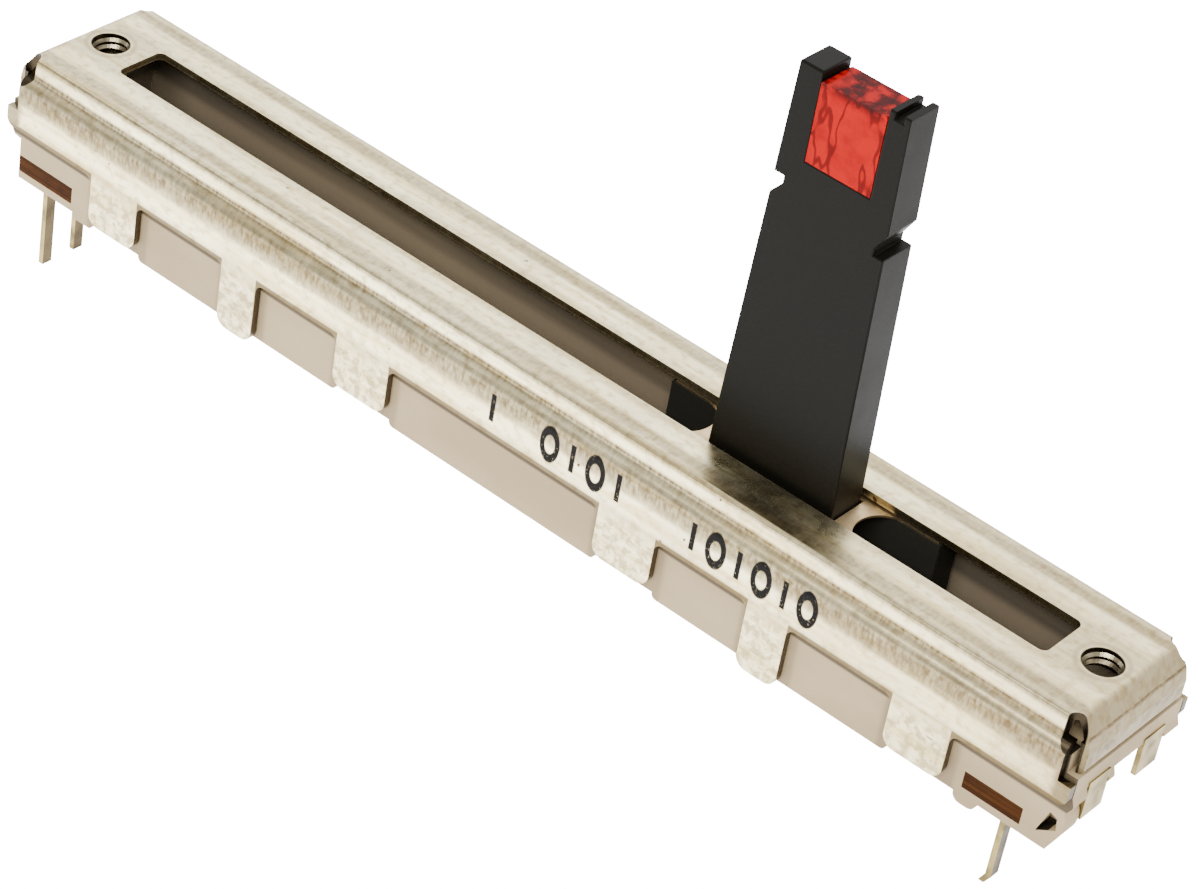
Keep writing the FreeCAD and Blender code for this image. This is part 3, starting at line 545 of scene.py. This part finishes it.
def phenolic():
    """Brown laminate, with layers that show as thin lines on its cut edges."""
    material, tree, shader = new_material("phenolic_board", Roughness=0.55, Specular_IOR_Level=0.03)
    where = position(tree)
    layers = noise(tree, where, 700, 2, 0.5, (0.15, 0.15, 9.0))
    clouds = noise(tree, where, 900, 4)
    base = mix_colour(tree, ramp(tree, layers, 0.35, 0.65), colour(44, 22, 4), colour(60, 32, 7))
    connect(
        tree, shader,
        Base_Color=mix_colour(tree, ramp(tree, clouds, 0.4, 0.8, 0.0, 0.5), base, colour(28, 11, 3)),
        Normal=bumped(tree, layers, 0.02 * MM, 0.5),
    )
    return material


def red_epoxy():
    """Clear red epoxy with thin dark wavy lines inside it and a clouded top."""
    material, tree, shader = new_material("red_epoxy", Roughness=0.25, IOR=1.5, Specular_IOR_Level=0.04)
    where = position(tree)
    waves = noise(tree, where, 420, 2, 0.5, (1.5, 1.0, 0.5))
    clouds = noise(tree, where, 900, 3, 0.6)
    off_line = size_of(tree, calculate(tree, "SUBTRACT", waves, 0.5))
    lines = calculate(tree, "MULTIPLY", ramp(tree, off_line, 0.008, 0.03, 1.0, 0.0), 0.8)
    height = split(tree, where)["Z"]
    near_top = ramp(tree, height, LAMP_TOP - 0.67 * MM, LAMP_TOP - 0.02 * MM, 0.0, 0.9)
    mottle = calculate(tree, "MULTIPLY", near_top, ramp(tree, clouds, 0.35, 0.6))
    base = mix_colour(tree, ramp(tree, clouds, 0.4, 0.7), colour(150, 5, 2), colour(132, 3, 1))
    connect(
        tree, shader,
        Base_Color=painted(tree, base, (lines, colour(70, 4, 2)), (mottle, colour(34, 6, 6))),
        Normal=bumped(tree, waves, 0.02 * MM, 0.4),
    )
    return material


# Strips and printed tracks

def strip_metal(name, light, dark, roughness, painted_side_shade=0.0):
    """Plated or bare strip, with fine scratches, duller patches, and painted shade on the faces that look
    along X.
    """
    material, tree, shader = new_material(name, Metallic=1.0)
    where = position(tree)
    scratches = noise(tree, where, 2600, 3, 0.6, (1.0, 1.0, 0.1))
    dull_and_dark = noise(tree, where, 700, 4)
    along, _ = facing(tree)
    base = mix_colour(tree, ramp(tree, dull_and_dark, 0.35, 0.7), light, dark)
    connect(
        tree, shader,
        # Painted shade on the faces that look along X
        Base_Color=mix_colour(tree, ramp(tree, along, 0.6, 0.9, 0.0, painted_side_shade), base, colour(52, 42, 32)),
        Roughness=ramp(tree, dull_and_dark, 0.3, 0.7, roughness, roughness + 0.15),
        Normal=bumped(tree, scratches, 0.01 * MM, 0.4),
    )
    return material


def printed_ink(name, light, dark, metallic):
    """A screen-printed strip with a fine mesh texture."""
    material, tree, shader = new_material(name, Metallic=metallic, Roughness=0.5)
    mesh = noise(tree, position(tree), 4200, 2)
    connect(
        tree, shader,
        Base_Color=mix_colour(tree, ramp(tree, mesh, 0.35, 0.65), dark, light),
        Normal=bumped(tree, mesh, 0.01 * MM, 0.5),
    )
    return material


# The material of each node, found by how the node's name starts

board_brown = phenolic()
lever_black = moulded("lever_plastic", colour(14, 12, 8), colour(9, 8, 5), 0.42, 0.004 * MM, 0.055)
carrier_black = moulded("carrier_plastic", colour(36, 34, 29), colour(28, 26, 22), 0.5, 0.006 * MM, 0.1)
# The pins get painted shade on their faces that look along X
pin_tin = strip_metal("pin_tin", colour(158, 142, 92), colour(104, 90, 54), 0.3, 0.85)
tinned_brass = strip_metal("tinned_brass", colour(158, 142, 92), colour(104, 90, 54), 0.3)
bronze = strip_metal("spring_bronze", colour(206, 182, 142), colour(176, 150, 110), 0.34)
carbon = printed_ink("carbon_ink", colour(40, 40, 40), colour(24, 24, 24), 0.0)
silver = printed_ink("silver_ink", colour(170, 168, 160), colour(140, 138, 130), 0.7)
thread_steel = strip_metal("thread_steel", colour(150, 138, 112), colour(70, 62, 48), 0.25)

MATERIALS = (
    ("cover", tinned_steel()),
    ("base", base_moulding()),
    ("element_board", board_brown),
    ("resistive_track", carbon),
    ("collector_track", silver),
    ("led_rail", silver),
    ("terminal", pin_tin),
    ("lamp_terminal", tinned_brass),
    ("lever", lever_black),
    ("carrier", carrier_black),
    ("led_lamp", red_epoxy()),
    ("led_lead", tinned_brass),
    ("friction", bronze),
    ("wiper", bronze),
    ("lamp_brush", bronze),
)

for name, item in frame["nodes"].items():
    matching = next(material for start, material in MATERIALS if name.startswith(start))
    item.data.materials.clear()
    item.data.materials.append(matching)


# Added detail

THREAD_PITCH = 0.5 * MM
THREAD_TURNS = 2.2
THREAD_TOP = -0.12 * MM
THREAD_STEPS = 80


def make_thread(name, across):
    """The M3 thread inside one tapped hole, as a spun ridge on the hole's wall."""
    wall = (HOLE_RADIUS_MM + 0.005) * MM
    crest = 1.1 * MM
    corners = ((wall, 0.0), (crest, -0.2 * MM), (wall, -0.4 * MM))
    mesh = bpy.data.meshes.new(name)
    shape = bmesh.new()
    points = [shape.verts.new((across + radius, 0, THREAD_TOP + up)) for radius, up in corners]
    ridge = shape.faces.new(points)
    bmesh.ops.spin(
        shape,
        geom=list(ridge.verts) + list(ridge.edges) + [ridge],
        cent=(across, 0, 0),
        axis=(0, 0, 1),
        dvec=(0, 0, -THREAD_PITCH * THREAD_TURNS / THREAD_STEPS),
        angle=2 * math.pi * THREAD_TURNS,
        steps=THREAD_STEPS,
        use_merge=False,
    )
    bmesh.ops.recalc_face_normals(shape, faces=shape.faces)
    shape.to_mesh(mesh)
    shape.free()
    item = bpy.data.objects.new(name, mesh)
    bpy.context.collection.objects.link(item)
    mesh.materials.append(thread_steel)
    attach(item, "housing")


def soften_edges(name, width):
    """Small rounded edges that catch the light."""
    item = frame["nodes"][name]
    weld = item.modifiers.new("joined_corners", "WELD")
    weld.merge_threshold = 0.001 * MM
    bevel = item.modifiers.new("edge_rounds", "BEVEL")
    bevel.width = width
    bevel.segments = 2
    bevel.limit_method = "ANGLE"
    bevel.angle_limit = math.radians(35)


make_thread("thread_left", -HOLE_X)
make_thread("thread_right", HOLE_X)
soften_edges("lever", 0.1 * MM)
soften_edges("base", 0.06 * MM)
soften_edges("carrier", 0.08 * MM)


# Floor, light and camera

def make_stage():
    """A pale floor under the pins, which glows so that it is white like the photo's ground."""
    bpy.ops.mesh.primitive_plane_add(size=3.0, location=(0, 0, PIN_FOOT))
    floor = bpy.context.object
    floor.name = "floor"
    material, tree, shader = new_material("floor_white", Roughness=0.9, Emission_Color=(1, 1, 1, 1))
    where = position(tree)
    seen = tree.nodes.new("ShaderNodeLightPath").outputs["Is Camera Ray"]
    aside = size_of(tree, calculate(tree, "ADD", split(tree, where)["X"], 12 * MM))
    glow = ramp(tree, aside, 35 * MM, 60 * MM, 2.6, 1.0)
    connect(
        tree, shader,
        Base_Color=mix_colour(tree, noise(tree, where, 3, 2), colour(250, 250, 250), colour(255, 255, 255)),
        Emission_Strength=most_of(tree, calculate(tree, "MULTIPLY", seen, 16.0), glow),
    )
    floor.data.materials.append(material)


def add_light(name, location, width, height, power):
    """A soft rectangular light that looks at the part."""
    light = bpy.data.lights.new(name, "AREA")
    light.shape = "RECTANGLE"
    light.size = width
    light.size_y = height
    light.energy = power
    item = bpy.data.objects.new(name, light)
    bpy.context.collection.objects.link(item)
    item.location = location
    toward = -Vector(location)
    item.rotation_euler = toward.to_track_quat("-Z", "Y").to_euler()


def make_world():
    """A white studio, brighter behind the part than in front of it."""
    world = bpy.data.worlds.new("studio")
    world.use_nodes = True
    tree = world.node_tree
    background = tree.nodes["Background"]
    background.inputs["Color"].default_value = (1, 1, 1, 1)
    along_y = split(tree, tree.nodes.new("ShaderNodeTexCoord").outputs["Generated"])["Y"]
    tree.links.new(ramp(tree, along_y, -0.5, 0.5, 0.9, 3.0), background.inputs["Strength"])
    bpy.context.scene.world = world


def make_camera():
    """The photo's camera: turned 34 degrees about Z, raised 37 and rolled 10."""
    data = bpy.data.cameras.new("camera")
    data.lens = 115.93
    data.sensor_width = 36
    data.sensor_fit = "HORIZONTAL"
    data.clip_start = 0.01
    data.clip_end = 10
    camera = bpy.data.objects.new("camera", data)
    bpy.context.collection.objects.link(camera)
    place = Vector((110.727, -157.152, 134.612)) * MM
    azimuth, elevation, roll = (math.radians(angle) for angle in (34.234, 36.602, 10.469))
    back = Vector((
        math.sin(azimuth) * math.cos(elevation),
        -math.cos(azimuth) * math.cos(elevation),
        math.sin(elevation),
    ))
    level = Vector((0, 0, 1)).cross(back).normalized()
    upward = back.cross(level)
    right = level * math.cos(roll) + upward * math.sin(roll)
    top = upward * math.cos(roll) - level * math.sin(roll)
    turn = Matrix((right, top, back)).transposed()
    camera.matrix_world = Matrix.Translation(place) @ turn.to_4x4()
    bpy.context.scene.camera = camera


make_stage()
make_world()
add_light("key", (0.1, -0.45, 0.42), 0.5, 0.12, 5)
add_light("left_fill", (-0.45, -0.1, 0.3), 0.12, 0.4, 1.2)
make_camera()
note_size()
